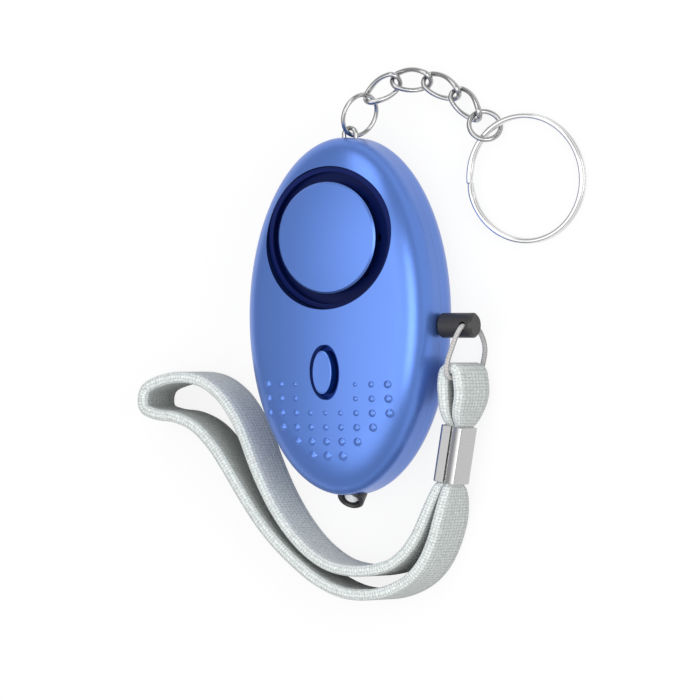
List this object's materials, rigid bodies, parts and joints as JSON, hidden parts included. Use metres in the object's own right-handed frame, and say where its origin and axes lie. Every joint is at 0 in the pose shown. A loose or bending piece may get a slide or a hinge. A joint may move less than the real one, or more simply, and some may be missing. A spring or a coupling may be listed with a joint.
{
  "type": "personal safety alarm",
  "caption": "Oval pocket alarm with a round sounder, torch button and lamp, pull pin on a wrist strap, and a chain with a key ring.",
  "frame": {"origin": "centre of the flat back of the case, on the surface it lies on", "axes": "+Z out of the front, +Y to the chain end, +X to the pull pin"},
  "size_m": [0.0816, 0.0893, 0.0176],
  "materials": {
    "case_blue": "glossy blue plastic",
    "key_blue": "glossy blue plastic",
    "ring_navy": "glossy dark navy plastic",
    "black_plastic": "black plastic",
    "lens": "clear white lens",
    "bright_metal": "bright nickel plate",
    "sheet_metal": "bright bent sheet",
    "contact_metal": "plated spring steel",
    "brass": "plain brass",
    "ceramic": "silvered ceramic",
    "board_green": "coated board",
    "copper": "enamelled copper",
    "tan_parts": "plain",
    "webbing": "coarse woven webbing",
    "cord": "thin cord",
    "lead_red": "insulated wire"
  },
  "bodies": {
    "case": {"front_shell": "case_blue", "rear_shell": "case_blue", "battery_door": "case_blue", "door_screw": "bright_metal", "shell_screws": "bright_metal", "sounder_cup": "ring_navy", "sounder_cover": "key_blue", "piezo_plate": "brass", "piezo_ceramic": "ceramic", "piezo_seat": "black_plastic", "circuit_board": "board_green", "driver_chip": "black_plastic", "boost_coil": "copper", "board_parts": "tan_parts", "tact_switch": "black_plastic", "button_cells": "sheet_metal", "plus_contact": "contact_metal", "minus_contact": "contact_metal", "lamp_bezel": "black_plastic", "lamp": "lens", "lamp_leads": "lead_red", "piezo_leads": "lead_red", "pin_guide": "black_plastic", "fork_contact": "brass", "chain_eyelet": "bright_metal"},
    "plunger": {"tact_plunger": "black_plastic"},
    "button": {"torch_button": "key_blue"},
    "leaf": {"leaf_contact": "brass"},
    "pin": {"pull_pin": "black_plastic", "pull_cord": "cord", "strap_crimp": "sheet_metal", "wrist_strap": "webbing"},
    "jump": {"jump_ring": "bright_metal"},
    "link_1": {"chain_link_1": "bright_metal"},
    "link_2": {"chain_link_2": "bright_metal"},
    "link_3": {"chain_link_3": "bright_metal"},
    "link_4": {"chain_link_4": "bright_metal"},
    "end": {"end_ring": "bright_metal"},
    "key": {"key_ring": "bright_metal"}
  },
  "joints": [
    {"name": "torch_press", "type": "slide", "parent": "case", "child": "button", "axis": [0, 0, -1], "range_m": [0, 0.0005], "stiffness_N_per_m": 1500, "springref_m": -0.0003},
    {"name": "plunger_press", "type": "slide", "parent": "case", "child": "plunger", "axis": [0, 0, -1], "range_m": [0, 0.0005]},
    {"name": "pin_pull", "type": "slide", "parent": "case", "child": "pin", "axis": [1, 0, 0], "range_m": [0, 0.014], "deforming": ["wrist_strap"]},
    {"name": "leaf_swing", "type": "hinge", "parent": "case", "child": "leaf", "pos_m": [0.00605, -0.00155, 0.0063], "axis": [0, 1, 0], "range_deg": [0, 18]},
    {"name": "jump_swing", "type": "hinge", "parent": "case", "child": "jump", "pos_m": [0, 0.03062, 0.008], "axis": [0, 0, 1], "range_deg": [0, 20]},
    {"name": "link_1_swing", "type": "hinge", "parent": "jump", "child": "link_1", "pos_m": [0.00258, 0.03669, 0.0065], "axis": [0, 0, 1], "range_deg": [-3, 20]},
    {"name": "link_2_swing", "type": "hinge", "parent": "link_1", "child": "link_2", "pos_m": [0.00698, 0.0398, 0.00485], "axis": [0, 0, 1], "range_deg": [-3, 20]},
    {"name": "link_3_swing", "type": "hinge", "parent": "link_2", "child": "link_3", "pos_m": [0.01241, 0.03977, 0.0034], "axis": [0, 0, 1], "range_deg": [-3, 20]},
    {"name": "link_4_swing", "type": "hinge", "parent": "link_3", "child": "link_4", "pos_m": [0.01739, 0.03742, 0.00241], "axis": [0, 0, 1], "range_deg": [-3, 20]},
    {"name": "end_swing", "type": "hinge", "parent": "link_4", "child": "end", "pos_m": [0.02145, 0.03357, 0.00246], "axis": [0, 0, 1], "range_deg": [-3, 20]},
    {"name": "key_flip", "type": "hinge", "parent": "end", "child": "key", "pos_m": [0.0236, 0.03096, 0.00251], "axis": [-0.766, -0.6428, 0], "range_deg": [0, 60]}
  ],
  "couplings": [
    {"joint": "plunger_press", "follows": "torch_press", "ratio": 1},
    {"joint": "leaf_swing", "follows": "pin_pull", "rad_per_m": 22.418}
  ]
}
